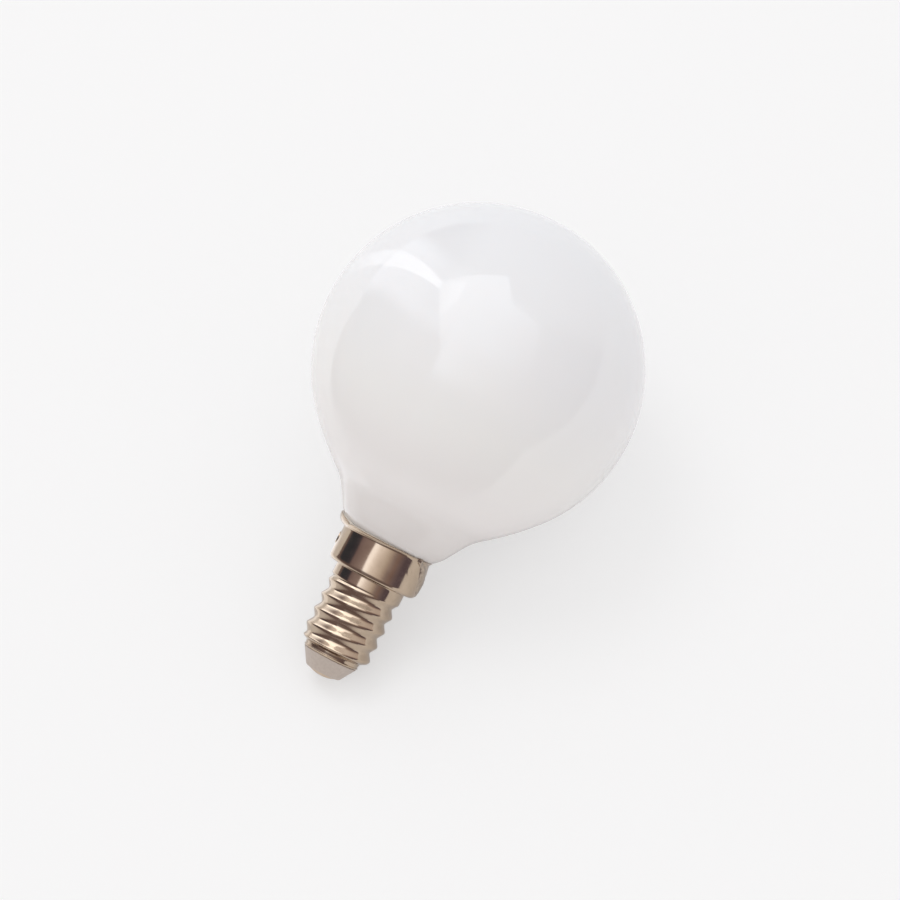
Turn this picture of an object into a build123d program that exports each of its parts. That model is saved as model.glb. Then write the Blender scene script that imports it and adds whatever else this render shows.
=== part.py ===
from build123d import *
import os
from math import asin, atan2, cos, degrees, hypot, radians, sin, tan

# A small globe light bulb with an opal glass envelope and a candelabra
# screw cap, lying on its side as it comes to rest on a table.
# Sizes are in millimetres and angles in degrees.
# Heights run along the bulb's own axis, from the tip of the bottom contact
# at 0 up to the top of the globe.
# Directions round that axis are counted from +x of the bulb's base plane.

# Glass envelope
globe_diameter = 52.3
globe_end_angle = 41.1
shoulder_end_angle = 52.2
waist_blend = 9.0
glass_cone_angle = 31.8
glass_cone_rise = 2.5
glass_collar_spread = 2.3
glass_collar_rise = 2.3
glass_neck_length = 4.2
glass_play = 0.35
glass_above_shoulder = 1.7
glass_edge_round = 0.8

# Screw thread of the cap
thread_major = 11.75
thread_depth = 0.66
thread_pitch = 2.54
thread_bottom = 4.45
thread_top = 14.9
thread_start_angle = -111.0
runout_height = 0.5

# Sheet that the cap is pressed from
wall = 0.25
cap_neck_length = 1.8
shoulder_width = 1.625
skirt_corner = 0.8
shoulder_blend = 0.2

# Mouth of the cap: a lip spread to one side, level but for a raised ear
mouth_rise = 0.38
ear_angle = 180.0
ear_slant = 18.0
ear_drop = 1.73
ear_top_rise = 1.7
lip_angle = 156.0
lip_shift = 0.52
lip_drop = 0.76
lip_rise = 1.48
lip_spread = 1.0
lip_foot_inset = 0.6
lip_bulge_spread = 0.6
lip_bulge_rise = 0.52

# Punched hole in the skirt, with its raised burr
punch_rise = 3.35
punch_angle = -166.0
punch_radius = 0.75
burr_width = 0.22
burr_rise = 0.1

# Rolled lower end of the threaded shell
shell_end = 3.2
shell_end_step = 0.555
shell_end_lip = 0.55

# Insulator and bottom contact
insulator_step = 0.16
insulator_tip = 0.55
insulator_tip_radius = 2.85
insulator_tip_round = 0.7
insulator_plug_height = 1.4
plug_clearance = 0.02
contact_radius = 2.35
stem_radius = 0.8
stem_clearance = 0.02

# Cement between the glass neck and the cap
cement_below_mouth = 0.2

# Solder over the side lead wire
solder_angle = -8.0
solder_above_edge = 0.4
solder_below_mouth = 0.3
solder_spread = 5.2
solder_rise = 0.3
solder_foot = 0.6
solder_top_rise = 0.1
bead_angle = -24.0
bead_drop = 0.73
bead_radius = 0.8
bead_spread = 0.25

# Worked out from the sizes above, from the thread outward
globe_radius = globe_diameter / 2
crest_radius = thread_major / 2
wave = thread_depth / 2
mean_radius = crest_radius - wave
shell_end_radius = mean_radius - wave - shell_end_step
insulator_radius = shell_end_radius - insulator_step
skirt_radius = crest_radius + shoulder_width
glass_neck_radius = skirt_radius - wall - glass_play
lip_radius = skirt_radius + lip_spread

# Worked out from the sizes above, from the thread upward
insulator_top = shell_end + insulator_plug_height
neck_bottom = thread_top + runout_height
skirt_bottom = neck_bottom + cap_neck_length
glass_neck_bottom = skirt_bottom + glass_above_shoulder
glass_neck_top = glass_neck_bottom + glass_neck_length
mouth_height = glass_neck_top + mouth_rise
mouth_top = mouth_height + ear_top_rise
lip_foot_height = mouth_height - lip_drop

# Envelope as a chain of tangent arcs: collar, cone, waist, shoulder and globe
cone_lean = radians(glass_cone_angle)
shoulder_lean = radians(shoulder_end_angle)
globe_lean = radians(globe_end_angle)
cone_end_radius = glass_neck_radius + glass_collar_spread
cone_end_height = glass_neck_top + glass_collar_rise
waist_radius = cone_end_radius + glass_cone_rise * tan(cone_lean)
waist_height = cone_end_height + glass_cone_rise
shoulder_foot_radius = waist_radius + waist_blend * (cos(cone_lean) - cos(shoulder_lean))
shoulder_foot_height = waist_height + waist_blend * (sin(shoulder_lean) - sin(cone_lean))
shoulder_reach = globe_radius * cos(globe_lean) - shoulder_foot_radius
shoulder_radius = shoulder_reach / (cos(globe_lean) - cos(shoulder_lean))
shoulder_rise = shoulder_radius * (sin(shoulder_lean) - sin(globe_lean))
globe_height = shoulder_foot_height + shoulder_rise + globe_radius * sin(globe_lean)


def crest_angle(height):
    """Direction of the thread's crest at a height, right handed."""
    return thread_start_angle + 360 * (height - thread_bottom) / thread_pitch


def lean_onto(height, radius):
    """Angle of the axis when the globe and this ring both touch the table."""
    reach = globe_height - height
    return degrees(asin(globe_radius / hypot(reach, radius)) - atan2(radius, reach))


def thread_radius(height, angle):
    """Radius of the thread's outer surface at a height, in one direction."""
    turn = radians(angle - crest_angle(height))
    return wave * cos(turn) + (mean_radius**2 - (wave * sin(turn)) ** 2) ** 0.5


# The bulb lies on its globe and on the lowest part of the thread's underside,
# looked for in small steps over the last two turns.
underside = 90
steps = [thread_bottom + thread_pitch * step / 100 for step in range(201)]
lean = min(lean_onto(height, thread_radius(height, underside)) for height in steps)

# The bulb's base plane: origin at the contact's tip, its normal up the axis.
insulator_slope = atan2(shell_end - insulator_tip, insulator_radius - insulator_tip_radius)
nose_radius = insulator_tip_radius - insulator_tip_round * tan(insulator_slope / 2)
nose_height = insulator_tip + insulator_tip_round
nose_run = (globe_height - nose_height) * cos(radians(lean)) + nose_radius * sin(radians(lean))
nose_reach = nose_run + insulator_tip_round
globe_x = (nose_reach - globe_radius) / 2
base = Plane(
    origin=(
        globe_x - globe_height * cos(radians(lean)),
        0,
        globe_radius - globe_height * sin(radians(lean)),
    ),
    x_dir=(0, -1, 0),
    z_dir=(cos(radians(lean)), 0, sin(radians(lean))),
)
bulb_axis = Axis(base.origin, base.z_dir)
profile_plane = Plane(origin=base.origin, x_dir=base.x_dir, z_dir=-base.y_dir)


def level(height, angle=0):
    """Plane across the bulb at a height, turned about its axis."""
    turn = radians(angle)
    return Plane(
        origin=base.origin + base.z_dir * height,
        x_dir=base.x_dir * cos(turn) + base.y_dir * sin(turn),
        z_dir=base.z_dir,
    )


def outward(height, angle, radius):
    """Plane on a ring of the bulb, its normal pointing straight outward."""
    ring = level(height, angle)
    return Plane(origin=ring.from_local_coords((radius, 0, 0)), x_dir=ring.y_dir, z_dir=ring.x_dir)


# Opal glass envelope: globe, waist, cone and the neck held in the cap
with BuildPart() as glass_globe:
    with BuildSketch(profile_plane):
        with BuildLine():
            crown = CenterArc((0, globe_height), globe_radius, 90, -90 - globe_end_angle)
            shoulder_turn = shoulder_end_angle - globe_end_angle
            shoulder = JernArc(crown @ 1, crown % 1, shoulder_radius, -shoulder_turn)
            waist_turn = shoulder_end_angle - glass_cone_angle
            waist = JernArc(shoulder @ 1, shoulder % 1, waist_blend, waist_turn)
            cone = Line(waist @ 1, (cone_end_radius, cone_end_height))
            TangentArc(cone @ 1, (glass_neck_radius, glass_neck_top), tangent=cone % 1)
            Polyline(
                (glass_neck_radius, glass_neck_top),
                (glass_neck_radius, glass_neck_bottom),
                (0, glass_neck_bottom),
                crown @ 0,
            )
        make_face()
    revolve(axis=bulb_axis)
    rim = glass_globe.edges().filter_by(GeomType.CIRCLE).sort_by(bulb_axis)[0]
    fillet(rim, radius=glass_edge_round)


def cap_body(inset):
    """Solid out to the cap's outer surface less an inset.

    The rolled thread's section across the axis is a circle whose centre runs
    round a small helix, so one circle swept along that helix is the thread.
    """
    with BuildPart() as body:
        with BuildSketch(level(thread_bottom, thread_start_angle)):
            with Locations((wave, 0)):
                Circle(mean_radius - inset)
        sweep(path=thread_path, normal=base.z_dir)

        # Thread running out into the plain neck
        with BuildSketch(level(thread_top, crest_angle(thread_top))):
            with Locations((wave, 0)):
                Circle(mean_radius - inset)
        with BuildSketch(level(neck_bottom)):
            Circle(crest_radius - inset)
        loft()

        # Thread running out into the rolled lower end
        with BuildSketch(level(shell_end + shell_end_lip)):
            Circle(shell_end_radius - inset)
        with BuildSketch(level(thread_bottom, thread_start_angle)):
            with Locations((wave, 0)):
                Circle(mean_radius - inset)
        loft()
        with BuildSketch(level(shell_end)):
            Circle(shell_end_radius - inset)
        extrude(amount=shell_end_lip)

        # Neck, shoulder and skirt
        with BuildSketch(profile_plane):
            with BuildLine():
                outer = FilletPolyline(
                    (crest_radius - inset, neck_bottom),
                    (crest_radius - inset, skirt_bottom + inset),
                    (skirt_radius - inset, skirt_bottom + inset),
                    (skirt_radius - inset, mouth_top),
                    radius=[shoulder_blend + inset, skirt_corner - inset],
                )
                Polyline(outer @ 1, (0, mouth_top), (0, neck_bottom), outer @ 0)
            make_face()
        revolve(axis=bulb_axis)

        # Lip, round an axis of its own
        with BuildSketch(lip_plane):
            with BuildLine():
                bulge = ThreePointArc(
                    (skirt_radius - lip_foot_inset - inset, lip_foot_height),
                    (skirt_radius + lip_bulge_spread - inset, lip_foot_height + lip_bulge_rise),
                    (lip_radius - inset, lip_foot_height + lip_rise),
                )
                Polyline(bulge @ 1, (lip_radius - inset, mouth_top), (0, mouth_top))
                Polyline((0, mouth_top), (0, lip_foot_height), bulge @ 0)
            make_face()
        revolve(axis=lip_axis)
    return body.part


lip_ring = level(0, lip_angle)
lip_axis = Axis(lip_ring.from_local_coords((lip_shift, 0, 0)), base.z_dir)
lip_plane = Plane(origin=lip_axis.position, x_dir=lip_ring.x_dir, z_dir=-lip_ring.y_dir)
ear_ring = level(mouth_height - ear_drop, ear_angle)
ear_lean = radians(ear_slant)
ear_plane = Plane(
    origin=ear_ring.origin,
    x_dir=ear_ring.x_dir * cos(ear_lean) + ear_ring.z_dir * sin(ear_lean),
    z_dir=ear_ring.z_dir * cos(ear_lean) - ear_ring.x_dir * sin(ear_lean),
)
thread_helix = Helix(thread_pitch, thread_top - thread_bottom, wave)
thread_path = level(thread_bottom, thread_start_angle) * thread_helix
cap_outside = cap_body(0)
cap_inside = cap_body(wall)

# What is trimmed off the mouth: all above it but the ear's slanted edge
with BuildPart() as mouth_trim:
    with BuildSketch(level(mouth_height)):
        Circle(2 * lip_radius)
    extrude(amount=2 * ear_top_rise)
    split(bisect_by=ear_plane, keep=Keep.TOP)

# Screw cap in one piece of thin sheet: thread, neck, skirt and mouth
with BuildPart() as screw_shell:
    add(cap_outside)
    add(cap_inside, mode=Mode.SUBTRACT)
    add(mouth_trim.part, mode=Mode.SUBTRACT)

    # Burr and hole that the punch left in the skirt
    with BuildSketch(outward(skirt_bottom + punch_rise, punch_angle, skirt_radius - wall / 2)):
        Circle(punch_radius + burr_width)
    extrude(amount=wall / 2 + burr_rise, taper=20)
    with Locations(outward(skirt_bottom + punch_rise, punch_angle, skirt_radius + wall)):
        Hole(punch_radius, depth=3 * wall)

# White cement that fills the skirt round the glass neck
with BuildPart() as basing_cement:
    with BuildSketch(level(glass_neck_bottom)):
        Circle(lip_radius + lip_shift)
    extrude(amount=mouth_height - cement_below_mouth - glass_neck_bottom)
    add(cap_inside, mode=Mode.INTERSECT)
    add(glass_globe.part, mode=Mode.SUBTRACT)

# Off-white insulator that closes the shell round the contact's stem
with BuildPart() as insulator:
    with BuildSketch(profile_plane):
        with BuildLine():
            plug_radius = shell_end_radius - wall - plug_clearance
            bore = stem_radius + stem_clearance
            Polyline(
                (bore, insulator_top),
                (plug_radius, insulator_top),
                (plug_radius, shell_end),
                (insulator_radius, shell_end),
                (insulator_tip_radius, insulator_tip),
                (bore, insulator_tip),
                close=True,
            )
        cone_face = make_face()
        tip_corner = cone_face.vertices().group_by(Axis.Y)[0].sort_by(Axis.X)[-1]
        fillet(tip_corner, radius=insulator_tip_round)
    revolve(axis=bulb_axis)

# Domed bottom contact with its stem through the insulator
with BuildPart() as centre_contact:
    with BuildSketch(profile_plane):
        with BuildLine():
            dome_radius = (contact_radius**2 + insulator_tip**2) / (2 * insulator_tip)
            dome_turn = degrees(asin(contact_radius / dome_radius))
            CenterArc((0, dome_radius), dome_radius, -90, dome_turn)
            Polyline(
                (contact_radius, insulator_tip),
                (stem_radius, insulator_tip),
                (stem_radius, insulator_top),
                (0, insulator_top),
                (0, 0),
            )
        make_face()
    revolve(axis=bulb_axis)

# Solder run down the skirt from a bead over the side lead wire at the mouth
with BuildPart() as side_solder:
    solder_low = skirt_bottom + solder_above_edge
    solder_high = mouth_height - solder_below_mouth
    solder_ring = level(solder_low, solder_angle)
    solder_origin = solder_ring.from_local_coords((skirt_radius + solder_rise - solder_spread, 0, 0))
    solder_plane = Plane(origin=solder_origin, x_dir=solder_ring.x_dir, z_dir=-solder_ring.y_dir)
    with BuildSketch(solder_plane):
        with BuildLine():
            run = solder_high - solder_low
            run_edge = solder_spread - solder_rise
            outer = ThreePointArc(
                (run_edge - solder_foot, 0),
                (solder_spread, run / 2),
                (run_edge + solder_top_rise, run),
            )
            Polyline(outer @ 1, (0, run), (0, 0), outer @ 0)
        make_face()
    revolve(axis=Axis(solder_origin, base.z_dir))
    with Locations(outward(mouth_height - bead_drop, bead_angle, skirt_radius + bead_spread)):
        Sphere(bead_radius)
    add(cap_outside, mode=Mode.SUBTRACT)

# Files
os.makedirs("parts", exist_ok=True)
glass_globe.part.label = "glass_globe"
export_step(glass_globe.part, "parts/glass_globe.step")
screw_shell.part.label = "screw_shell"
export_step(screw_shell.part, "parts/screw_shell.step")
basing_cement.part.label = "basing_cement"
export_step(basing_cement.part, "parts/basing_cement.step")
insulator.part.label = "insulator"
export_step(insulator.part, "parts/insulator.step")
centre_contact.part.label = "centre_contact"
export_step(centre_contact.part, "parts/centre_contact.step")
side_solder.part.label = "side_solder"
export_step(side_solder.part, "parts/side_solder.step")
print("lean of the axis above the table", round(lean, 3))
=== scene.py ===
# %% [markdown]
# A small LED globe bulb lies on its side on a pale table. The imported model
# gives every piece its place, so it is loaded first and stays untouched. The
# pieces made here stand in for its nodes, in the same frame and at real size.

import bpy
import math
import numpy as np
from mathutils import Matrix, Vector


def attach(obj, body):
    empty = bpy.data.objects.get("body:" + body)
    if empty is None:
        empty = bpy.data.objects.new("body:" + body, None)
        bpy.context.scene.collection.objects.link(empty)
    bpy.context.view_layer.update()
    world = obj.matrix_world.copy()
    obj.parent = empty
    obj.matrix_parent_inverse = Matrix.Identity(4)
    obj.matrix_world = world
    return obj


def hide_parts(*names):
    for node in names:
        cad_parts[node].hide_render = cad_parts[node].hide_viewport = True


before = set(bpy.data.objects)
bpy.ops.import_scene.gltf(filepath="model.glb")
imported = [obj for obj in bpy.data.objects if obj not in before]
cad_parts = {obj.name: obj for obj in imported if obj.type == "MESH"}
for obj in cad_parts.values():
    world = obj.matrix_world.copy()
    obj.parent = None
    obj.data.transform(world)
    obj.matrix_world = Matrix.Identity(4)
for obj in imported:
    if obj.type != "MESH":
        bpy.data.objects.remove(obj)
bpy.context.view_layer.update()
print("nodes", sorted(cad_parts))

# %% [markdown]
# The sizes are those of the real bulb in millimetres. Heights run along the
# bulb's axis from the tip of its contact. Angles go round that axis: 90 faces
# the table, -90 is the top line. The bulb rests on its globe and on the thread,
# so the lean of the axis follows from the sizes.

# %% Sizes
GLOBE_RADIUS = 26.15
GLOBE_END = math.radians(41.1)
SHOULDER = math.radians(52.2)
CONE = math.radians(31.8)
WAIST_BLEND = 9.0
CONE_END = (9.2, 25.4)
CONE_RISE = 2.5
NECK_RADIUS, NECK_TOP, NECK_BOTTOM, NECK_ROUND = 6.9, 23.1, 18.9, 0.8
PITCH, CREST, ROOT = 2.54, 5.875, 5.215
THREAD_BOTTOM, RUNOUT_TOP, THREAD_TOP, START_ANGLE = 4.45, 4.9, 14.9, -111.0
MEAN, WAVE = (CREST + ROOT) / 2, (CREST - ROOT) / 2
PLAIN_NECK, SKIRT_BOTTOM, SKIRT, WALL = 15.4, 17.2, 7.5, 0.25
SHELL_END, SHELL_END_RADIUS, SHELL_LAND = 3.2, 4.66, 0.55
MOUTH, EAR_FOOT, EAR_SLANT = 23.48, 21.75, math.radians(18)
LIP_ANGLE, LIP_SHIFT = math.radians(156), 0.52
LIP_POINTS = ((6.9, 22.72), (8.1, 23.24), (8.5, 24.2))
INSULATOR_RADIUS, INSULATOR_TIP, INSULATOR_TIP_RADIUS, INSULATOR_ROUND = 4.5, 0.55, 2.85, 0.7
PLUG_RADIUS, PLUG_TOP, PLUG_BORE = 4.35, 4.6, 0.82
CONTACT_RADIUS, STEM_RADIUS = 2.35, 0.8

waist_x = CONE_END[0] + CONE_RISE * math.tan(CONE)
waist_z = CONE_END[1] + CONE_RISE
shoulder_x = waist_x + WAIST_BLEND * (math.cos(CONE) - math.cos(SHOULDER))
shoulder_z = waist_z + WAIST_BLEND * (math.sin(SHOULDER) - math.sin(CONE))
shoulder_radius = GLOBE_RADIUS * math.cos(GLOBE_END) - shoulder_x
shoulder_radius /= math.cos(GLOBE_END) - math.cos(SHOULDER)
globe_z = shoulder_z + shoulder_radius * (math.sin(SHOULDER) - math.sin(GLOBE_END))
globe_z += GLOBE_RADIUS * math.sin(GLOBE_END)


def thread_radius(angle, height):
    turn = angle - math.radians(START_ANGLE) - 2 * np.pi * (height - THREAD_BOTTOM) / PITCH
    return WAVE * np.cos(turn) + np.sqrt(MEAN**2 - (WAVE * np.sin(turn)) ** 2)


def lean_onto(height):
    """Lean of the axis when globe and thread touch the table, the thread at this height."""
    radius, reach = thread_radius(np.pi / 2, height), globe_z - height
    return math.asin(GLOBE_RADIUS / math.hypot(reach, radius)) - math.atan2(radius, reach)


lean = min(lean_onto(THREAD_BOTTOM + PITCH * step / 100) for step in range(201))
c, s = math.cos(lean), math.sin(lean)
insulator_slope = math.atan2(SHELL_END - INSULATOR_TIP, INSULATOR_RADIUS - INSULATOR_TIP_RADIUS)
nose_radius = INSULATOR_TIP_RADIUS - INSULATOR_ROUND * math.tan(insulator_slope / 2)
nose_height = INSULATOR_TIP + INSULATOR_ROUND
nose_reach = (globe_z - nose_height) * c + nose_radius * s + INSULATOR_ROUND
globe_x = (nose_reach - GLOBE_RADIUS) / 2
tip = Vector((globe_x - globe_z * c, 0, GLOBE_RADIUS - globe_z * s))
LYING = Matrix(((0, s, c, tip.x), (-1, 0, 0, 0), (0, -c, s, tip.z), (0, 0, 0, 1)))
LYING = Matrix.Scale(0.001, 4) @ LYING
print("globe centre at height", round(globe_z, 3), "lean", round(math.degrees(lean), 3))

# %% [markdown]
# Most pieces of a bulb are turned shapes, so one function lays rings of points
# along a profile and closes it at the axis. It works in the bulb's upright
# millimetre space, keeps those places as a point attribute that the finishes
# read, and only then lays the piece down.

# %% Mesh helpers
def arc(cx, cz, radius, start, end, count):
    """Points of an arc, with its angles in degrees."""
    turn = np.radians(np.linspace(start, end, count))
    return np.stack([cx + radius * np.cos(turn), cz + radius * np.sin(turn)], 1)


def grid_mesh(name, rings, close_rows=False, poles=(None, None)):
    """Mesh from rings of points (rows, columns, 3), with optional pole points."""
    rows, columns = rings.shape[:2]
    points = rings.reshape(-1, 3)
    bands = np.arange(rows if close_rows else rows - 1)
    row, column = np.meshgrid(bands, np.arange(columns), indexing="ij")
    here, above, beside = row * columns, (row + 1) % rows * columns, (column + 1) % columns
    corners = [here + column, here + beside, above + beside, above + column]
    faces = [tuple(f) for f in np.stack(corners, -1).reshape(-1, 4).tolist()]
    for pole, ring in zip(poles, (0, rows - 1)):
        if pole is None:
            continue
        points = np.vstack([points, pole])
        last, start = len(points) - 1, ring * columns
        for k in range(columns):
            pair = (start + k, start + (k + 1) % columns)
            faces.append((pair[1], pair[0], last) if ring == 0 else (pair[0], pair[1], last))
    mesh = bpy.data.meshes.new(name)
    mesh.from_pydata(points.tolist(), [], faces)
    mesh.validate()
    mesh.shade_smooth()
    return mesh


def lathe(name, profile, columns, close_rows=False):
    """Turned mesh from an upright profile of (radius, height) rows."""
    profile = np.asarray(profile, float)
    turn = np.linspace(0, 2 * np.pi, columns, endpoint=False)
    poles = [None, None]
    inner = profile
    if profile[0, 0] < 1e-6:
        poles[0], inner = (0, 0, profile[0, 1]), inner[1:]
    if profile[-1, 0] < 1e-6:
        poles[1], inner = (0, 0, profile[-1, 1]), inner[:-1]
    radius, height = inner[:, :1], inner[:, 1:]
    rings = [radius * np.cos(turn), radius * np.sin(turn), height * np.ones(columns)]
    return grid_mesh(name, np.stack(rings, -1), close_rows, poles)


def new_object(name, mesh):
    made = bpy.data.objects.new(name, mesh)
    bpy.context.scene.collection.objects.link(made)
    return made


def lay_down(name, mesh, node, material):
    """Make the upright mesh a finished piece that lies in the shared frame."""
    points = np.empty(len(mesh.vertices) * 3, np.float32)
    mesh.vertices.foreach_get("co", points)
    upright = mesh.attributes.new("upright", "FLOAT_VECTOR", "POINT")
    upright.data.foreach_set("vector", points)
    mesh.transform(LYING)
    mesh.update()
    piece = new_object(name, mesh)
    mesh.materials.clear()
    mesh.materials.append(material)
    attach(piece, "root")
    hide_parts(node)
    print(name, len(mesh.polygons), "faces")


# %% [markdown]
# Finishes come next. Colours are written as they look on a screen and turned
# to linear light by one function. One more function adds a node with its
# settings and links, so each finish reads as a short list.

# %% Material helpers
def linear(code):
    parts = [int(code[k : k + 2], 16) / 255 for k in (1, 3, 5)]
    light = (p / 12.92 if p <= 0.04045 else ((p + 0.055) / 1.055) ** 2.4 for p in parts)
    return tuple(light) + (1.0,)


def fill(tree, node, inputs):
    """Give each named input a value, or link it to the output socket given."""
    for key, value in inputs.items():
        if isinstance(value, bpy.types.NodeSocket):
            tree.links.new(value, node.inputs[key])
        else:
            node.inputs[key].default_value = value


def add(tree, kind, inputs=None, **settings):
    """Add a node with its settings and inputs."""
    made = tree.nodes.new(kind)
    for key, value in settings.items():
        setattr(made, key, value)
    fill(tree, made, inputs or {})
    return made


def bare_material(name):
    material = bpy.data.materials.new(name)
    material.use_nodes = True
    material.node_tree.nodes.clear()
    return material, material.node_tree


def new_material(name):
    material, tree = bare_material(name)
    surface = add(tree, "ShaderNodeBsdfPrincipled")
    add(tree, "ShaderNodeOutputMaterial", {"Surface": surface.outputs["BSDF"]})
    return material, tree, surface


def upright_places(tree):
    """Places on the bulb in its upright millimetre space."""
    made = add(tree, "ShaderNodeAttribute", attribute_name="upright", attribute_type="GEOMETRY")
    return made.outputs["Vector"]


def noise(tree, places, scale, detail):
    made = add(tree, "ShaderNodeTexNoise", {"Vector": places, "Scale": scale, "Detail": detail})
    return made.outputs["Fac"]


def bump(tree, height, strength, distance):
    """Bump of a height, with its distance in metres."""
    inputs = {"Height": height, "Strength": strength, "Distance": distance}
    return add(tree, "ShaderNodeBump", inputs).outputs["Normal"]


def ramp(tree, factor, stops):
    """Colour ramp whose stops are (place, colour code)."""
    made = add(tree, "ShaderNodeValToRGB", {"Fac": factor})
    while len(made.color_ramp.elements) < len(stops):
        made.color_ramp.elements.new(0.5)
    for element, (place, colour) in zip(made.color_ramp.elements, stops):
        element.position = place
        element.color = linear(colour)
    return made.outputs["Color"]


# %% [markdown]
# The envelope is clear glass with a white coat inside. From outside it looks
# like a smooth white solid under a thin gloss: a Principled white with a
# little light spread below the surface. Toward the cap the white is painted
# in a warm grey there, a painted shade where the cap darkens the neck.

# %% Opal glass
opal_glass, tree, surface = new_material("opal_glass")
places = upright_places(tree)
split = add(tree, "ShaderNodeSeparateXYZ", {"Vector": places})
from_cap = {"Value": split.outputs["Z"], "From Min": 22.0, "From Max": 82.0}
from_cap = add(tree, "ShaderNodeMapRange", from_cap).outputs["Result"]
# White coat colour along the axis, with painted shade: it turns to a warm grey near the cap.
coat_and_painted_shade = ramp(tree, from_cap, [
    (0.0, "#d0cbc8"), (0.06, "#dcd8d6"), (0.18, "#eae7e6"),
    (0.37, "#ebeae9"), (0.6, "#e9e9eb"), (1.0, "#e6e8ec"),
])
gloss = {"Value": noise(tree, places, 0.11, 2.0), "To Min": 0.02, "To Max": 0.06}
fill(tree, surface, {
    "Base Color": coat_and_painted_shade,
    "Roughness": add(tree, "ShaderNodeMapRange", gloss).outputs["Result"],
    "IOR": 1.5,
    "Subsurface Weight": 0.25,
    "Subsurface Radius": (1.0, 0.9, 0.85),
    "Subsurface Scale": 0.004,
})
print("opal glass with", len(tree.nodes), "nodes")

# %% [markdown]
# The cap is thin brass sheet with a warm nickel plate. Plated metal is all
# reflection, so the colour is the plate's and the look comes from roughness:
# long faint rubbing marks round the cap and a soft cloud of wear.

# %% Nickel plate
nickel_plate, tree, surface = new_material("nickel_plate")
places = upright_places(tree)
stretch = add(tree, "ShaderNodeMapping", {"Vector": places, "Scale": (0.5, 0.5, 9.0)})
rubbing = noise(tree, stretch.outputs["Vector"], 1.0, 4.0)
cloud = noise(tree, places, 0.45, 3.0)
worn = add(tree, "ShaderNodeMath", {0: rubbing, 1: cloud}, operation="MULTIPLY").outputs["Value"]
wear = {"Value": worn, "From Min": 0.1, "From Max": 0.4, "To Min": 0.07, "To Max": 0.16}
fill(tree, surface, {
    "Base Color": ramp(tree, cloud, [(0.3, "#b4a28e"), (0.7, "#beac98")]),
    "Roughness": add(tree, "ShaderNodeMapRange", wear).outputs["Result"],
    "Normal": bump(tree, rubbing, 0.15, 0.00002),
    "Metallic": 1.0,
})
print("nickel plate with", len(tree.nodes), "nodes")

# %% [markdown]
# The insulator at the lower end is a satin moulded part in a greyish beige,
# with a fine grain that only softens its gloss.

# %% Insulator plastic
insulator_plastic, tree, surface = new_material("insulator_plastic")
grain = noise(tree, upright_places(tree), 2.2, 5.0)
fill(tree, surface, {
    "Base Color": ramp(tree, grain, [(0.3, "#b3a69c"), (0.7, "#bcb0a6")]),
    "Normal": bump(tree, grain, 0.3, 0.00003),
    "Roughness": 0.42,
})
print("insulator plastic with", len(tree.nodes), "nodes")

# %% [markdown]
# Three small finishes are left: the chalky cement in the mouth, the pale brass
# of the domed contact, and the dull grey solder over the side wire.

# %% Cement, contact brass and solder
basing_cement, tree, surface = new_material("basing_cement")
grain = noise(tree, upright_places(tree), 1.8, 6.0)
fill(tree, surface, {
    "Base Color": ramp(tree, grain, [(0.3, "#cfc8bd"), (0.7, "#dfd9cf")]),
    "Normal": bump(tree, grain, 0.6, 0.0001),
    "Roughness": 0.9,
})

contact_brass, tree, surface = new_material("contact_brass")
cloud = noise(tree, upright_places(tree), 1.2, 4.0)
fill(tree, surface, {
    "Base Color": ramp(tree, cloud, [(0.3, "#c3a98c"), (0.7, "#d4bfa6")]),
    "Metallic": 1.0,
    "Roughness": 0.28,
})

solder_grey, tree, surface = new_material("solder_grey")
cloud = noise(tree, upright_places(tree), 1.6, 5.0)
fill(tree, surface, {
    "Base Color": ramp(tree, cloud, [(0.3, "#9c8f83"), (0.7, "#b9ab9b")]),
    "Normal": bump(tree, cloud, 0.4, 0.0001),
    "Metallic": 1.0,
    "Roughness": 0.26,
})
print("finishes", sorted(m.name for m in (basing_cement, contact_brass, solder_grey)))

# %% [markdown]
# The envelope is blown glass: a true sphere that runs through a long soft
# shoulder into a waist and a cone. Following that chain of arcs with fine
# rings keeps the reflections free of flat spots.

# %% Glass globe
GLASS_COLUMNS, COLLAR_BEND = 320, 1.3
cone_deg, shoulder_deg, end_deg = (math.degrees(a) for a in (CONE, SHOULDER, GLOBE_END))
waist_centre = (waist_x + WAIST_BLEND * math.cos(CONE), waist_z - WAIST_BLEND * math.sin(CONE))
shoulder_centre = (
    shoulder_x - shoulder_radius * math.cos(SHOULDER),
    shoulder_z + shoulder_radius * math.sin(SHOULDER),
)
round_centre = (NECK_RADIUS - NECK_ROUND, NECK_BOTTOM + NECK_ROUND)
neck_rows = [(0, NECK_BOTTOM), (round_centre[0], NECK_BOTTOM)]
neck_rows += list(arc(*round_centre, NECK_ROUND, -80, 0, 8))
neck_rows += [(NECK_RADIUS, z) for z in np.linspace(NECK_BOTTOM + 1.2, NECK_TOP, 8)]
foot, knee = np.array([NECK_RADIUS, NECK_TOP]), np.array(CONE_END)
handle = knee - np.array([math.tan(CONE), 1.0]) * COLLAR_BEND
for k in np.linspace(0, 1, 14)[1:]:
    neck_rows.append(tuple((1 - k) ** 2 * foot + 2 * k * (1 - k) * handle + k**2 * knee))
cone_steps = np.linspace(0, CONE_RISE, 6)[1:]
cone_rows = [(CONE_END[0] + k * math.tan(CONE), CONE_END[1] + k) for k in cone_steps]
waist_rows = arc(*waist_centre, WAIST_BLEND, 180 - cone_deg, 180 - shoulder_deg, 16)[1:]
shoulder_rows = arc(*shoulder_centre, shoulder_radius, -shoulder_deg, -end_deg, 20)[1:]
globe_rows = arc(0, globe_z, GLOBE_RADIUS, -end_deg, 90, 180)[1:]
globe_rows[-1, 0] = 0
profile = np.vstack([neck_rows, cone_rows, waist_rows, shoulder_rows, globe_rows])
glass_mesh = lathe("opal_envelope", profile, GLASS_COLUMNS)
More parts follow.
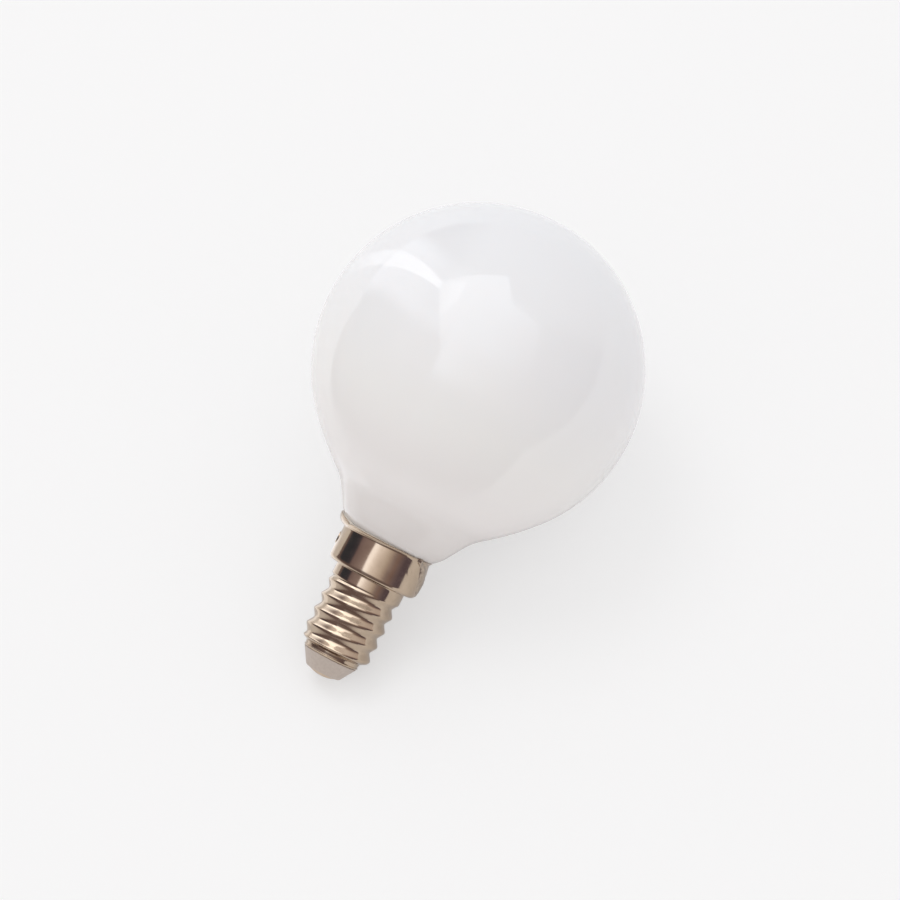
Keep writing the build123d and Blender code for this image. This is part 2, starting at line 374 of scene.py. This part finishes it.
lay_down("opal_envelope", glass_mesh, "glass_globe", opal_glass)

# %% [markdown]
# The mouth of the cap isn't plain. Its lip is an arc turned round an axis a
# little to the side, and its left edge rises to an ear. The sheet also keeps
# traces of assembly: a shallow crimp behind the solder, a rubbed scar and a
# notch in the rim. Two functions of the angle hold all of that, so the solder
# and the cement can follow the same sheet later.

# %% Skirt and rim
COLUMNS = 240
CRIMP_DEPTH, CRIMP_ANGLE, CRIMP_SPREAD, CRIMP_FOOT = 0.33, 8, 26, 21.3
SCAR_DEPTH, SCAR_ANGLE, SCAR_HEIGHT = 0.05, -31, 20.9
NOTCH_DEPTH, NOTCH_ANGLE = 0.16, -131
around = np.linspace(0, 2 * np.pi, COLUMNS, endpoint=False)


def circle_through(points):
    """Centre and radius of the circle through three points."""
    (x1, y1), (x2, y2), (x3, y3) = points
    left = np.array([[x2 - x1, y2 - y1], [x3 - x1, y3 - y1]])
    right = np.array([x2**2 - x1**2 + y2**2 - y1**2, x3**2 - x1**2 + y3**2 - y1**2]) / 2
    cx, cy = np.linalg.solve(left, right)
    return cx, cy, math.hypot(x1 - cx, y1 - cy)


lip_x, lip_z, lip_radius = circle_through(LIP_POINTS)
lip_side = -1 if lip_x > LIP_POINTS[2][0] else 1


def step(value, low, high):
    k = np.clip((value - low) / (high - low), 0, 1)
    return k * k * (3 - 2 * k)


def away(angle, centre_deg):
    """Angle from a direction, in degrees from -180 to 180."""
    return (np.degrees(angle) - centre_deg + 180) % 360 - 180


def lip_reach(angle, height):
    """Radius of the lip at a height, round its own shifted axis."""
    climb = np.clip(height, LIP_POINTS[0][1], LIP_POINTS[2][1])
    radius = lip_x + lip_side * np.sqrt(lip_radius**2 - (climb - lip_z) ** 2)
    turn = angle - LIP_ANGLE
    return LIP_SHIFT * np.cos(turn) + np.sqrt(radius**2 - (LIP_SHIFT * np.sin(turn)) ** 2)


def skirt_reach(angle, height):
    """Radius of the skirt and lip, softly joined, with traces of assembly."""
    lip = lip_reach(angle, height)
    joined = np.maximum(SKIRT, lip) + 0.04 * np.exp(-(((lip - SKIRT) / 0.12) ** 2))
    crimp = np.exp(-((away(angle, CRIMP_ANGLE) / CRIMP_SPREAD) ** 2))
    crimp = CRIMP_DEPTH * crimp * step(height, CRIMP_FOOT, MOUTH)
    beside, above = away(angle, SCAR_ANGLE), height - SCAR_HEIGHT
    scar = SCAR_DEPTH * np.exp(-((beside / 4.5) ** 2) - (above / 0.75) ** 2)
    scar = scar * np.sin(np.radians(beside) * 46 + 4.2 * height)
    sway = 0.012 * np.sin(3 * angle + 0.9) + 0.006 * np.sin(7 * angle + height)
    return joined - crimp + scar + sway


def rim_height(angle, radius):
    """Height of the rim: level at the mouth, slanting up to the ear on the left."""
    ear = EAR_FOOT + radius * np.cos(angle - np.pi) * math.tan(EAR_SLANT)
    notch = NOTCH_DEPTH * np.exp(-((away(angle, NOTCH_ANGLE) / 2.2) ** 2))
    edge = np.maximum(MOUTH, ear) - notch
    return edge + 0.02 * np.sin(5 * angle + 1.0) + 0.014 * np.sin(11 * angle)


mouth_reach = skirt_reach(around, rim_height(around, SKIRT))
print("mouth from", round(mouth_reach.min(), 2), "to", round(mouth_reach.max(), 2), "mm")

# %% [markdown]
# The cap is one pressed piece: a rolled thread, a plain neck, a shoulder, a
# skirt and a spread lip. Its plain wall is laid out first as closed rings, up
# the outside and down the inside. Each ring says how far it belongs to the
# thread, and a node tree rolls the thread into it in the next step.

# %% Plain wall of the cap
END_CHAMFER, LAND_TOP, LAND_DEPTH = 0.3, SHELL_END + SHELL_LAND, 0.13
RISE_FOOT = LAND_TOP + 0.42
NECK_FILLET, SKIRT_CORNER, RIM_ROUND = 0.2, 0.8, 0.1
OUTER_STEPS, INNER_STEPS = 26, 12


def ring(radius, height, share=0.0, inset=0.0):
    """A ring's points, its share in the thread, and how far inside the outer face it lies."""
    radius, height = radius + 0 * around, height + 0 * around
    points = np.stack([radius * np.cos(around), radius * np.sin(around), height], 1)
    return points, share, inset


def wall_up(thin, steps):
    """Rings from the end's chamfer to just under the rim, one wall inside or not."""
    found = []
    for height in np.linspace(SHELL_END + END_CHAMFER, RISE_FOOT, 15)[:-1]:
        pulled = LAND_DEPTH * step(height, LAND_TOP - 0.25, LAND_TOP - 0.1)
        pulled = pulled - 0.2 * max(height - LAND_TOP + 0.1, 0)
        found.append(ring(SHELL_END_RADIUS - thin - pulled, height))
    for height in np.linspace(RISE_FOOT, RUNOUT_TOP, 20):
        k = (height - RISE_FOOT) / (RUNOUT_TOP - RISE_FOOT)
        share = math.sin(math.pi / 2 * k) ** 1.3
        found.append(ring(SHELL_END_RADIUS - thin - 0.05, height, share, thin))
    for height in np.linspace(RUNOUT_TOP, THREAD_TOP, int(4.5 * steps))[1:]:
        found.append(ring(MEAN - thin, height, 1.0, thin))
    for height in np.linspace(THREAD_TOP, PLAIN_NECK, 9)[1:]:
        k = (PLAIN_NECK - height) / (PLAIN_NECK - THREAD_TOP)
        found.append(ring(CREST - thin, height, k * k * (3 - 2 * k), thin))
    blend, corner, floor = NECK_FILLET + thin, SKIRT_CORNER - thin, SKIRT_BOTTOM + thin
    for height in np.linspace(PLAIN_NECK, floor - blend, 9)[1:-1]:
        found.append(ring(CREST - thin, height))
    for radius, height in arc(CREST - thin + blend, floor - blend, blend, 180, 90, 7):
        found.append(ring(radius, height))
    for radius, height in arc(SKIRT - thin - corner, floor + corner, corner, -90, 0, 10):
        found.append(ring(radius, height))
    reach = SKIRT + 0 * around
    for _ in range(3):
        reach = skirt_reach(around, rim_height(around, reach))
    top = rim_height(around, reach) - RIM_ROUND
    for k in np.linspace(0, 1, 44)[1:]:
        height = floor + corner + k * (top - floor - corner)
        found.append(ring(skirt_reach(around, height) - thin, height))
    return found


cap_rings = wall_up(0.0, OUTER_STEPS)
for turn in np.radians(np.linspace(15, 165, 8)):
    reach = mouth_reach - WALL / 2 + WALL / 2 * np.cos(turn)
    cap_rings.append(ring(reach, rim_height(around, reach) - RIM_ROUND + RIM_ROUND * np.sin(turn)))
cap_rings += wall_up(WALL, INNER_STEPS)[::-1]
for height in (0.25, 0.02):
    cap_rings.append(ring(SHELL_END_RADIUS - WALL, SHELL_END + height))
for k in np.linspace(0.04, 0.96, 8):
    cap_rings.append(ring(SHELL_END_RADIUS - WALL * (1 - k), SHELL_END + END_CHAMFER * k))

ring_points, ring_shares, ring_insets = zip(*cap_rings)
wall_mesh = grid_mesh("cap_wall", np.array(ring_points), close_rows=True)
for name, values in (("thread_share", ring_shares), ("wall_inset", ring_insets)):
    attribute = wall_mesh.attributes.new(name, "FLOAT", "POINT")
    attribute.data.foreach_set("value", np.repeat(values, COLUMNS).astype(np.float32))
cap = new_object("cap_wall", wall_mesh)
print("rings", len(cap_rings), "faces", len(wall_mesh.polygons))

# %% [markdown]
# A rolled thread is close to a sine wave along the axis. Cut straight across,
# it is a circle a little off centre that turns with height. The tree below
# writes that rule: it finds each point's angle and height, works out the
# thread's radius there, and moves the point in or out. Two small corrections
# make the roots broader and the flanks straighter, as rollers leave them.
# Pitch, radii and start angle are inputs, so another cap needs new numbers only.

# %% Node tree that rolls the thread
roll = bpy.data.node_groups.new("rolled_thread", "GeometryNodeTree")
sockets = {}
for label, kind, value in (
    ("Geometry", "NodeSocketGeometry", None),
    ("Pitch", "NodeSocketFloat", PITCH),
    ("Crest Radius", "NodeSocketFloat", CREST),
    ("Root Radius", "NodeSocketFloat", ROOT),
    ("Thread Bottom", "NodeSocketFloat", THREAD_BOTTOM),
    ("Start Angle", "NodeSocketFloat", math.radians(START_ANGLE)),
    ("Root Breadth", "NodeSocketFloat", 0.02),
    ("Flank Straightness", "NodeSocketFloat", 0.86),
    ("Material", "NodeSocketMaterial", nickel_plate),
):
    socket = roll.interface.new_socket(name=label, in_out="INPUT", socket_type=kind)
    sockets[label] = (socket.identifier, value)
roll.interface.new_socket(name="Geometry", in_out="OUTPUT", socket_type="NodeSocketGeometry")
given = roll.nodes.new("NodeGroupInput").outputs


def maths(operation, first, second=0.0):
    return add(roll, "ShaderNodeMath", {0: first, 1: second}, operation=operation).outputs["Value"]


def stored(name):
    made = add(roll, "GeometryNodeInputNamedAttribute", {"Name": name}, data_type="FLOAT")
    return made.outputs["Attribute"]


place = add(roll, "GeometryNodeInputPosition").outputs["Position"]
xyz = add(roll, "ShaderNodeSeparateXYZ", {"Vector": place}).outputs
angle = maths("ARCTAN2", xyz["Y"], xyz["X"])
plain = maths("ADD", maths("POWER", xyz["X"], 2.0), maths("POWER", xyz["Y"], 2.0))
plain = maths("SQRT", plain)
climb = maths("DIVIDE", maths("SUBTRACT", xyz["Z"], given["Thread Bottom"]), given["Pitch"])
crest_turn = maths("ADD", maths("MULTIPLY", climb, 2 * math.pi), given["Start Angle"])
turn = maths("SUBTRACT", angle, crest_turn)
half_sum = maths("MULTIPLY", maths("ADD", given["Crest Radius"], given["Root Radius"]), 0.5)
half_gap = maths("MULTIPLY", maths("SUBTRACT", given["Crest Radius"], given["Root Radius"]), 0.5)
sideways = maths("POWER", maths("MULTIPLY", half_gap, maths("SINE", turn)), 2.0)
straight = maths("SQRT", maths("SUBTRACT", maths("POWER", half_sum, 2.0), sideways))
warped = maths("ADD", turn, maths("MULTIPLY", given["Root Breadth"], maths("SINE", turn)))
straightness = given["Flank Straightness"]
form = maths("ARCSINE", maths("MULTIPLY", maths("COSINE", warped), straightness))
form = maths("DIVIDE", form, maths("ARCSINE", straightness))
rolled = maths("ADD", maths("MULTIPLY", half_gap, form), straight)
rolled = maths("SUBTRACT", rolled, stored("wall_inset"))
change = maths("MULTIPLY", maths("SUBTRACT", rolled, plain), stored("thread_share"))
radius = maths("ADD", plain, change)
moved = add(roll, "ShaderNodeCombineXYZ", {
    "X": maths("MULTIPLY", radius, maths("COSINE", angle)),
    "Y": maths("MULTIPLY", radius, maths("SINE", angle)),
    "Z": xyz["Z"],
})
shaped = {"Geometry": given["Geometry"], "Position": moved.outputs["Vector"]}
shaped = add(roll, "GeometryNodeSetPosition", shaped).outputs["Geometry"]
real = add(roll, "GeometryNodeRealizeInstances", {"Geometry": shaped}).outputs["Geometry"]
faced = add(roll, "GeometryNodeSetMaterial", {"Geometry": real, "Material": given["Material"]})
add(roll, "NodeGroupOutput", {"Geometry": faced.outputs["Geometry"]})

modifier = cap.modifiers.new("rolled_thread", "NODES")
modifier.node_group = roll
for identifier, value in sockets.values():
    if value is not None:
        modifier[identifier] = value
print("node tree with", len(roll.nodes), "nodes")

# %% [markdown]
# The skirt has a small punched hole near the left edge, with a raised burr. A
# cutter goes straight through the wall there, and a turned burr ring is joined
# to the piece, because both belong to the same sheet.

# %% Punched hole and finished cap
HOLE_ANGLE, HOLE_HEIGHT, HOLE_RADIUS = math.radians(-166), 20.55, 0.75
CUTTER_REACH, BURR_CURL, BURR_BREADTH = 0.8, 0.11, 0.4
out = Vector((math.cos(HOLE_ANGLE), math.sin(HOLE_ANGLE), 0))
side = Vector((-out.y, out.x, 0))
turned = Matrix((side, Vector((0, 0, 1)), out)).transposed().to_4x4()
onto_skirt = Matrix.Translation(out * SKIRT + Vector((0, 0, HOLE_HEIGHT))) @ turned
cutter_rows = [(0, -CUTTER_REACH), (HOLE_RADIUS, -CUTTER_REACH)]
cutter_rows += [(HOLE_RADIUS, CUTTER_REACH), (0, CUTTER_REACH)]
cutter = new_object("hole_cutter", lathe("hole_cutter", cutter_rows, 48))
cutter.data.transform(onto_skirt)
cut = cap.modifiers.new("hole", "BOOLEAN")
cut.object, cut.operation, cut.solver = cutter, "DIFFERENCE", "EXACT"
bpy.context.view_layer.update()
shaped_cap = cap.evaluated_get(bpy.context.evaluated_depsgraph_get())
cap_mesh = bpy.data.meshes.new_from_object(shaped_cap)
bpy.data.objects.remove(cap)
bpy.data.objects.remove(cutter)

burr_rows = [(HOLE_RADIUS, -0.2), (HOLE_RADIUS, 0.05)]
for turn in np.linspace(np.pi, 0, 7)[1:]:
    curled = HOLE_RADIUS + BURR_CURL + BURR_CURL * math.cos(turn)
    burr_rows.append((curled, 0.05 + 0.06 * math.sin(turn)))
burr_rows += [(HOLE_RADIUS + BURR_BREADTH, -0.05), (HOLE_RADIUS + BURR_BREADTH, -0.2)]
burr = lathe("burr", burr_rows[::-1], 48, close_rows=True)
burr.transform(onto_skirt)


def joined_mesh(name, meshes):
    """One mesh from several, without touching any object."""
    points, faces = [], []
    for mesh in meshes:
        start = len(points)
        points += [tuple(v.co) for v in mesh.vertices]
        faces += [tuple(start + v for v in p.vertices) for p in mesh.polygons]
    whole = bpy.data.meshes.new(name)
    whole.from_pydata(points, [], faces)
    whole.shade_smooth()
    return whole


whole_cap = joined_mesh("screw_cap", [cap_mesh, burr])
lay_down("screw_cap", whole_cap, "screw_shell", nickel_plate)

# %% [markdown]
# The insulator is a cone that closes the threaded shell, and the contact is a
# thin dome set in its tip. Both are turned, with their small corners rounded
# so that the edges catch light as moulded and pressed parts do.

# %% Insulator and centre contact
nose_turn = -90 + math.degrees(insulator_slope)
insulator_rows = [(PLUG_BORE, INSULATOR_TIP)]
insulator_rows += list(arc(nose_radius, nose_height, INSULATOR_ROUND, -90, nose_turn, 10))
insulator_rows += [
    (INSULATOR_RADIUS - 0.06, SHELL_END - 0.09),
    (INSULATOR_RADIUS, SHELL_END - 0.03),
    (INSULATOR_RADIUS - 0.03, SHELL_END),
    (PLUG_RADIUS, SHELL_END),
    (PLUG_RADIUS, PLUG_TOP),
    (PLUG_BORE, PLUG_TOP),
]
cone_mesh = lathe("insulator_cone", insulator_rows, 160, close_rows=True)
lay_down("insulator_cone", cone_mesh, "insulator", insulator_plastic)

dome_radius = (CONTACT_RADIUS**2 + INSULATOR_TIP**2) / (2 * INSULATOR_TIP)
dome_turn = math.degrees(math.asin(CONTACT_RADIUS / dome_radius))
dome_rows = arc(0, dome_radius, dome_radius, -90, -90 + dome_turn, 20)
dome_rows[0, 0] = 0
contact_rows = list(dome_rows)
contact_rows += [(STEM_RADIUS, INSULATOR_TIP), (STEM_RADIUS, PLUG_TOP), (0, PLUG_TOP)]
contact_mesh = lathe("contact_dome", contact_rows, 128)
lay_down("contact_dome", contact_mesh, "centre_contact", contact_brass)

# %% [markdown]
# The solder runs from a bead on the rim down the right of the skirt. It is a
# height field wrapped on the skirt: a few soft mounds give the run and the
# bead, slow noise makes it uneven, and its edge dips into the sheet.

# %% Side solder
SOLDER_TOP, SOLDER_LENGTH, SOLDER_RISE, SOLDER_DIP = 23.72, 6.05, 0.2, 0.1
down = np.linspace(0, 1, 120)[:, None]
wide = np.linspace(-1, 1, 96)[None, :]
height = SOLDER_TOP - SOLDER_LENGTH * down + 0 * wide
middle = np.interp(height, [17.6, 18.7, 20.3, 22.3, 23.1, 23.8], [11, 8, 1, -11, -26, -29])
half = np.interp(height, [17.6, 18.3, 20.3, 22.3, 23.1, 23.8], [7, 12, 13, 11, 6.5, 5])
angles = np.radians(middle) + wide * np.radians(half)


def mound(angle_deg, at, rise, wide_mm, tall_mm):
    """Soft mound at an angle and a height, with its rise and spreads in millimetres."""
    across = (angles - math.radians(angle_deg)) * SKIRT / wide_mm
    return rise * np.exp(-(across**2) - ((height - at) / tall_mm) ** 2)


rise = SOLDER_RISE + mound(-28, 22.95, 0.6, 0.62, 0.6) + mound(-13, 21.9, 0.16, 0.9, 1.2)
rise = rise + mound(2, 19.4, 0.14, 1.3, 1.3)
rise = rise + 0.02 * np.sin(3.1 * height + 9 * angles) + 0.015 * np.sin(7.7 * height - 21 * angles)
fade = np.clip(1 - wide**2, 0, 1) ** 0.5 * np.clip(np.sin(np.pi * down), 0, 1) ** 0.35
wall_here = skirt_reach(angles, np.minimum(height, MOUTH - 0.1))
radius = wall_here - SOLDER_DIP + (rise + SOLDER_DIP) * fade
outer = np.stack([radius * np.cos(angles), radius * np.sin(angles), height], -1)
under = wall_here - 0.14
inner = np.stack([under * np.cos(angles), under * np.sin(angles), height], -1)
loop = np.concatenate([outer, inner[:, ::-1]], 1)
ends = (tuple(loop[0].mean(0)), tuple(loop[-1].mean(0)))
solder_mesh = grid_mesh("solder_run", loop, poles=ends)
solder_mesh.flip_normals()
lay_down("solder_run", solder_mesh, "side_solder", solder_grey)

# %% [markdown]
# Cement fills the skirt round the glass neck and holds the bulb in its cap. It
# follows the inside of the rim, ear and all, and climbs a little on the glass,
# as a paste does when it sets, so only a thin pale line shows in the mouth.

# %% Cement
CEMENT_FOOT, CEMENT_INNER, CEMENT_CLIMB = 19.2, 6.5, 0.45
mouth_top = rim_height(around, mouth_reach)
cement_rings = []
for k in np.linspace(0, 1, 10):
    height = CEMENT_FOOT + k * (mouth_top - 0.04 - CEMENT_FOOT)
    cement_rings.append(ring(skirt_reach(around, height) - WALL + 0.01, height))
cement_rings.append(ring((mouth_reach - WALL) * 0.6 + 6.6 * 0.4, mouth_top + 0.08))
cement_rings.append(ring(CEMENT_INNER, mouth_top + CEMENT_CLIMB))
cement_rings.append(ring(CEMENT_INNER, CEMENT_FOOT))
cement_points = np.array([points for points, _, _ in cement_rings])
cement_mesh = grid_mesh("cement_ring", cement_points, close_rows=True)
lay_down("cement_ring", cement_mesh, "basing_cement", basing_cement)

# %% [markdown]
# The bulb lies on a plain pale table. The table's own colour shows a little
# of itself to the camera as if lit evenly, so its white stays level from edge
# to edge while the bulb's shadow keeps its place on it.

# %% Table
TABLE_HALF, EVEN_SHARE = 4, 0.53
corners = [(-1, -1), (1, -1), (1, 1), (-1, 1)]
table_mesh = bpy.data.meshes.new("table")
table_points = [(x * TABLE_HALF, y * TABLE_HALF, 0) for x, y in corners]
table_mesh.from_pydata(table_points, [], [(0, 1, 2, 3)])
table = new_object("table", table_mesh)
table_white, tree, surface = new_material("table_white")
fill(tree, surface, {
    "Base Color": linear("#f4f4f5"),
    "Roughness": 0.8,
    "Specular IOR Level": 0.1,
})
seen = add(tree, "ShaderNodeLightPath").outputs["Is Camera Ray"]
lift = add(tree, "ShaderNodeMath", {0: seen, 1: EVEN_SHARE}, operation="MULTIPLY")
paper = add(tree, "ShaderNodeEmission", {"Color": linear("#f6f6f6"), "Strength": 1.0})
pale = add(tree, "ShaderNodeMixShader", {
    "Fac": lift.outputs["Value"],
    1: surface.outputs["BSDF"],
    2: paper.outputs["Emission"],
})
fill(tree, tree.nodes["Material Output"], {"Surface": pale.outputs["Shader"]})
table_mesh.materials.append(table_white)
print("table", 2 * TABLE_HALF, "m wide")

# %% [markdown]
# Polished metal and glass show the room, so a dome that only reflections see
# gives them one. A belt of tones runs across it, which upright walls such as
# the skirt reflect: a dark side, a pale middle and a grey far side. Flanks that
# tilt to the globe find a pale ceiling, and flanks that tilt to the tip find a
# dark wall, so the rolled thread gets its bright and dark bands.

# %% Room that only reflections see
ROOM_RADIUS, ROOM_LIGHT = 3.0, 2.2
rows = arc(0, 0, ROOM_RADIUS, 0, 90, 40)
rows[-1, 0] = 0
room_mesh = lathe("room", rows, 96)
room = new_object("room", room_mesh)
room_look, tree = bare_material("room_look")
spot = add(tree, "ShaderNodeTexCoord").outputs["Object"]
heading = add(tree, "ShaderNodeVectorMath", {0: spot}, operation="NORMALIZE").outputs["Vector"]
split = add(tree, "ShaderNodeSeparateXYZ", {"Vector": heading}).outputs
across = {"Value": split["Y"], "From Min": -1.0, "From Max": 1.0}
across = add(tree, "ShaderNodeMapRange", across).outputs["Result"]
belt = ramp(tree, across, [
    (0.02, "#4c444d"), (0.055, "#60565b"), (0.1, "#6e5f5d"), (0.155, "#766c6d"),
    (0.22, "#8c827d"), (0.29, "#9b948f"), (0.37, "#a7a19f"), (0.455, "#b4b1b2"),
    (0.505, "#c6c6ca"), (0.55, "#dbe0e9"), (0.608, "#dee3ec"), (0.63, "#7c7172"),
    (0.785, "#716668"), (0.86, "#65595c"), (0.895, "#34323b"), (0.96, "#2a2d35"),
])
ceiling = ramp(tree, across, [
    (0.02, "#4c444d"), (0.13, "#6e5f5d"), (0.25, "#9b9591"), (0.35, "#c8c9cd"),
    (0.45, "#e0e3e9"), (0.66, "#e2e5eb"), (0.79, "#babcc2"), (0.88, "#dcdee4"),
])
beyond = ramp(tree, across, [
    (0.05, "#8a7f7c"), (0.25, "#b0abaa"), (0.7, "#b0abaa"), (0.8, "#6a6062"),
])


def calc(operation, first, second):
    return add(tree, "ShaderNodeMath", {0: first, 1: second}, operation=operation).outputs["Value"]


def soft(value, low, high):
    limits = {"Value": value, "From Min": low, "From Max": high}
    made = add(tree, "ShaderNodeMapRange", limits, interpolation_type="SMOOTHSTEP")
    return made.outputs["Result"]


def blend(amount, first, second):
    inputs = {"Factor": amount, 6: first, 7: second}
    return add(tree, "ShaderNodeMix", inputs, data_type="RGBA").outputs[2]


square = calc("MULTIPLY", split["Y"], split["Y"])
bow = calc("MULTIPLY", calc("MULTIPLY", square, square), 0.42)
tilt = calc("SUBTRACT", calc("ADD", split["X"], 0.45), bow)
dark_share = calc("MULTIPLY", soft(calc("MULTIPLY", tilt, -1.0), 0.12, 0.3), 0.88)
low_side = blend(dark_share, belt, linear("#524849"))
high_side = blend(soft(tilt, 0.1, 0.32), low_side, ceiling)
all_round = blend(soft(tilt, 0.84, 1.02), high_side, beyond)
glow = add(tree, "ShaderNodeEmission", {"Color": all_round, "Strength": ROOM_LIGHT})
add(tree, "ShaderNodeOutputMaterial", {"Surface": glow.outputs["Emission"]})
room_mesh.materials.append(room_look)
room.visible_camera = room.visible_diffuse = room.visible_shadow = False
room.visible_transmission = room.visible_volume_scatter = False
print("room with", len(tree.nodes), "nodes")

# %% [markdown]
# A window stands high behind the bulb, with a bright strip of daylight beside
# it that carries on as a beam over the table. Cards that only reflections see
# make them. Each card is a grid between two edges, and it fades out along them
# or sideways, because a soft end looks like light and a hard one like paper. A
# glowing dark card and a small glowing white card near the bulb paint a dark and a bright
# reflection.

# %% Cards that only reflections see
CARD_STEPS = 24


def along(edge):
    """Evenly spaced points on a line through an edge's corners."""
    steps, marks = np.linspace(0, 1, CARD_STEPS + 1), np.linspace(0, 1, len(edge))
    return np.stack([np.interp(steps, marks, np.array(edge)[:, k]) for k in range(3)], 1)


def card(name, left, right, strength, fade, colour="#fbfcff", far=2.0, sideways=False, last=0.0):
    """Glowing card between two edges. It fades from the mark fade on, down to the share last.
    Far cards lie on a ball of that radius, and the others where their edges say."""
    side, steps = CARD_STEPS + 1, np.linspace(0, 1, CARD_STEPS + 1)
    points = [(1 - u) * a + u * b for a, b in zip(along(left), along(right)) for u in steps]
    points = [tuple(far * p / np.linalg.norm(p)) if far else tuple(p) for p in points]
    firsts = [r * side + k for r in range(CARD_STEPS) for k in range(CARD_STEPS)]
    faces = [(f, f + 1, f + side + 1, f + side) for f in firsts]
    mesh = bpy.data.meshes.new(name)
    mesh.from_pydata(points, [], faces)
    drop = mesh.attributes.new("drop", "FLOAT", "POINT")
    marks = np.tile(1 - steps, side) if sideways else np.repeat(steps, side)
    drop.data.foreach_set("value", marks.astype(np.float32))
    look, tree = bare_material(name + "_look")
    mark = add(tree, "ShaderNodeAttribute", attribute_name="drop", attribute_type="GEOMETRY")
    level = {"Value": mark.outputs["Fac"], "From Min": fade, "From Max": 1.0}
    level = add(tree, "ShaderNodeMapRange", {**level, "To Min": 1.0, "To Max": last})
    glow = add(tree, "ShaderNodeEmission", {"Color": linear(colour), "Strength": strength})
    clear = add(tree, "ShaderNodeBsdfTransparent")
    mixed = add(tree, "ShaderNodeMixShader", {
        "Fac": level.outputs["Result"],
        1: clear.outputs["BSDF"],
        2: glow.outputs["Emission"],
    })
    add(tree, "ShaderNodeOutputMaterial", {"Surface": mixed.outputs["Shader"]})
    mesh.materials.append(look)
    piece = new_object(name, mesh)
    piece.visible_camera = piece.visible_diffuse = piece.visible_shadow = False
    piece.visible_transmission = piece.visible_volume_scatter = False
    print("card", name, "strength", strength)


card(
    "window",
    left=[(0.29, 0.59, 0.76), (-0.05, 0.45, 0.89), (-0.37, 0.28, 0.89), (-0.77, 0.03, 0.63)],
    right=[(0.66, 0.06, 0.75), (0.42, -0.16, 0.89), (0.41, -0.5, 0.76), (-0.3, -0.72, 0.62)],
    strength=2.6,
    fade=0.2,
)
card(
    "strip",
    left=[(0.216, 0.562, 0.799), (0.31, 0.808, 0.5), (0.358, 0.933, 0.005)],
    right=[(0.303, 0.582, 0.755), (0.42, 0.757, 0.5), (0.5, 0.866, 0.005)],
    strength=4.0,
    fade=0.3,
    last=0.35,
)
card(
    "window_glare",
    left=[(0.28, 0.575, 0.77), (0.08, 0.5, 0.86), (-0.05, 0.45, 0.89)],
    right=[(0.4, 0.36, 0.84), (0.16, 0.35, 0.92), (-0.03, 0.42, 0.91)],
    strength=3.8,
    fade=0.0,
    far=1.95,
    sideways=True,
)
card(
    "beam_on_table",
    left=[(0.6, 1.46, 0.001), (0.15, 0.365, 0.001), (0.072, 0.165, 0.001), (0.031, 0.068, 0.001)],
    right=[(0.8, 1.38, 0.001), (0.2, 0.345, 0.001), (0.079, 0.135, 0.001), (0.032, 0.049, 0.001)],
    strength=1.9,
    fade=0.5,
    far=0,
)
fan = [(math.cos(math.radians(a)), math.sin(math.radians(a))) for a in range(85, 241, 31)]
dark_reflection_edge = [0.04, 0.024, 0.026, 0.034, 0.026, 0.022]
# A glowing dark card that only reflections see: a painted dark reflection of the table round the
# tip.
card(
    "painted_dark_reflection",
    left=[(-0.03 + r * x, r * y, 0.001) for r, (x, y) in zip(dark_reflection_edge, fan)],
    right=[(-0.03 + 0.9 * x, 0.9 * y, 0.03) for x, y in fan],
    strength=2.2,
    fade=0.96,
    colour="#5a4f50",
    far=0,
    sideways=True,
)
# A small glowing white card that only reflections see: a painted bright reflection on the thread's
# left edge.
card(
    "painted_bright_reflection",
    left=[(-0.036, 0.012, 0.002), (-0.036, 0.03, 0.002)],
    right=[(-0.016, 0.012, 0.002), (-0.012, 0.03, 0.002)],
    strength=1.4,
    fade=0.5,
    far=0,
)

# %% [markdown]
# The light is a soft bright sky, a little stronger from above and from the far
# left, and one broad lamp on the same side that only deepens the shadow. Both
# stay at a level where a colour looks about as it is written. The camera looks
# down steeply through a long lens, so the round bulb keeps its true outline.

# %% Light and camera
scene = bpy.context.scene
world = bpy.data.worlds.new("soft_day")
world.use_nodes = True
tree = world.node_tree
spot = add(tree, "ShaderNodeTexCoord").outputs["Generated"]
toward = {0: spot, 1: (0.15, 0.3, 0.94)}
toward = add(tree, "ShaderNodeVectorMath", toward, operation="DOT_PRODUCT").outputs["Value"]
toward = add(tree, "ShaderNodeMapRange", {"Value": toward, "From Min": -1.0, "From Max": 1.0})
tones = [(0.0, "#d9cfc9"), (0.5, "#ece8e6"), (1.0, "#ffffff")]
sky = ramp(tree, toward.outputs["Result"], tones)
fill(tree, tree.nodes["Background"], {"Color": sky, "Strength": 0.985})
scene.world = world

key_data = bpy.data.lights.new("key", "AREA")
key_data.shape, key_data.size, key_data.energy = "DISK", 0.7, 2.8
key = new_object("key", key_data)
key.location = Vector((0.12, 0.4, 0.9)) * 1.5
key.rotation_euler = key.location.to_track_quat("Z", "Y").to_euler()
key.visible_glossy = False

azimuth, elevation, distance = math.radians(30.53), math.radians(61.76), 0.6
level = math.cos(elevation)
gaze = Vector((math.cos(azimuth) * level, math.sin(azimuth) * level, -math.sin(elevation)))
camera_data = bpy.data.cameras.new("camera")
camera_data.lens, camera_data.sensor_width = 151.28, 36
camera_data.clip_start, camera_data.clip_end = 0.05, 20
camera = new_object("camera", camera_data)
camera.location = Vector((0.00306, 0.00015, 0.013)) - gaze * distance
camera.rotation_euler = gaze.to_track_quat("-Z", "Y").to_euler()
scene.camera = camera
scene.view_settings.view_transform = "Standard"
print("camera at", [round(v, 3) for v in camera.location])
